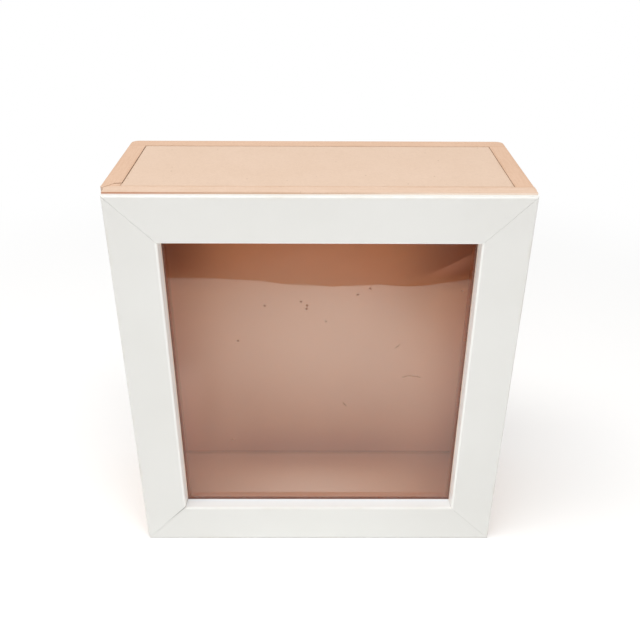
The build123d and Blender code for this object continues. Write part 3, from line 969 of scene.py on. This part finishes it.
def specks_group():
    kinds = {"Sheet": "NodeSocketObject", "Grains": "NodeSocketFloat", "Size": "NodeSocketFloat"}
    kinds |= {"Seed": "NodeSocketInt", "Finish": "NodeSocketMaterial"}
    tree, given, out = node_group("sheet_specks", kinds)
    sheet = sheet_shape(tree, given)
    normal = tree.add("GeometryNodeInputNormal")
    front = tree.add("FunctionNodeCompare", {0: tree.split(normal)[1], 1: -0.9}, operation="LESS_THAN")
    sockets = {"Mesh": sheet, "Selection": front, "Density": given["Grains"], "Seed": given["Seed"]}
    scattered = tree.add("GeometryNodeDistributePointsOnFaces", sockets)
    placed = onto_sheet(tree, tree.add("GeometryNodeMeshToPoints", {"Mesh": given["Geometry"]}), sheet)
    scattered = tree.add("GeometryNodeSetPointRadius", {"Points": scattered, "Radius": SCATTERED_SIZE})
    placed = tree.add("GeometryNodeSetPointRadius", {"Points": placed, "Radius": PLACED_SIZE})
    both = tree.add("GeometryNodeJoinGeometry", output=None)
    for points in (scattered, placed):
        tree.link(points, both.inputs[0])
    grain = tree.add("GeometryNodeMeshIcoSphere", {"Radius": given["Size"], "Subdivisions": 1})
    grain = tree.add("GeometryNodeTransform", {"Geometry": grain, "Scale": (1.0, 0.35, 0.75)})
    chance = {2: SMALLEST, 3: LARGEST, "Seed": given["Seed"]}
    any_size = tree.add("FunctionNodeRandomValue", chance, 1, data_type="FLOAT")
    size = tree.maths("MULTIPLY", any_size, tree.add("GeometryNodeInputRadius"))
    turned = {0: (0, 0, 0), 1: (0, math.tau, 0), "Seed": given["Seed"]}
    turn = tree.add("FunctionNodeRandomValue", turned, 0, data_type="FLOAT_VECTOR")
    spots = {"Points": both.outputs[0], "Instance": grain, "Rotation": turn, "Scale": size}
    real = tree.add("GeometryNodeRealizeInstances", {0: tree.add("GeometryNodeInstanceOnPoints", spots)})
    done = tree.add("GeometryNodeSetMaterial", {"Geometry": real, "Material": given["Finish"]})
    tree.link(done, out.inputs[0])
    return tree.owner


# %% [markdown]
# The second group draws lint along given lines: each becomes a smooth curve
# with a thin round thread along it, closed at both ends.


# %% Node group for lint
def lint_group():
    kinds = {"Sheet": "NodeSocketObject", "Thickness": "NodeSocketFloat", "Finish": "NodeSocketMaterial"}
    tree, given, out = node_group("sheet_lint", kinds)
    laid = onto_sheet(tree, given["Geometry"], sheet_shape(tree, given))
    lines = tree.add("GeometryNodeMeshToCurve", {"Mesh": laid})
    smooth = tree.add("GeometryNodeCurveSplineType", {"Curve": lines}, spline_type="CATMULL_ROM")
    radius = tree.maths("MULTIPLY", given["Thickness"], 0.5)
    round_end = tree.add("GeometryNodeCurvePrimitiveCircle", {"Resolution": 6, "Radius": radius})
    threads = {"Curve": smooth, "Profile Curve": round_end, "Fill Caps": True}
    real = tree.add("GeometryNodeRealizeInstances", {0: tree.add("GeometryNodeCurveToMesh", threads)})
    done = tree.add("GeometryNodeSetMaterial", {"Geometry": real, "Material": given["Finish"]})
    tree.link(done, out.inputs[0])
    return tree.owner


# %% [markdown]
# Specks and lint are a dull brown fluff. Their places are given in millimetres
# as seen from the front, across and up, and the groups push them back onto the
# sheet.


# %% Brown fluff
FLUFF_DARK, FLUFF_LIGHT = (0.27, 0.120, 0.070, 1), (0.40, 0.215, 0.140, 1)
dust_brown, tree, out = new_finish("dust_brown")
place = tree.add("ShaderNodeTexCoord", output=3)
shade = tree.tint(tree.noise(place, 900.0), FLUFF_DARK, FLUFF_LIGHT)
fluff = tree.add("ShaderNodeBsdfPrincipled", {"Base Color": shade, "Roughness": 0.9})
tree.link(fluff, out.inputs["Surface"])


# %% Lay the specks and the lint
def line_mesh(title, lines):
    """A mesh of open lines and single points just in front of the sheet, given in millimetres."""
    points, edges = [], []
    for line in lines:
        edges += [(len(points) + i, len(points) + i + 1) for i in range(len(line) - 1)]
        points += [(x * MM, pane_low.y - 1.0 * MM, z * MM) for x, z in line]
    mesh = bpy.data.meshes.new(title)
    mesh.from_pydata(points, edges, [])
    return mesh


speck_places = [(-26.5, 151.8), (-8.2, 154.1), (-5.2, 151.9), (-5.5, 149.9), (4.4, 142.7), (20.1, 158.1)]
speck_places += [(26.0, 161.5), (72.1, 160.5), (-40.8, 131.4), (-46.6, 67.5), (75.9, 131.9)]
speck_lines = [[place] for place in speck_places]
lint_lines = [
    [(45.1, 108.8), (48.0, 109.9), (50.6, 109.7), (54.6, 109.0)],
    [(40.4, 127.1), (41.4, 127.8), (42.6, 129.1)],
    [(14.0, 92.6), (14.8, 91.3), (15.8, 90.6)],
    [(-5.1, 152.4), (-5.3, 149.6)],
]
specks = {"Sheet": pane, "Grains": 2600.0, "Size": 0.70 * MM, "Seed": 7, "Finish": dust_brown}
lint = {"Sheet": pane, "Thickness": 0.36 * MM, "Finish": dust_brown}
dust = [
    made_by(specks_group(), "sheet_specks", specks, line_mesh("speck_places", speck_lines)),
    made_by(lint_group(), "sheet_lint", lint, line_mesh("lint_lines", lint_lines)),
]
for piece in dust:
    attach(piece, "case")

# %% [markdown]
# ## Finish
#
# Last, the view transform is set to Standard. The new pieces must not make the
# case larger than its CAD model.

# %% The last line
bpy.context.scene.view_settings.view_transform = "Standard"
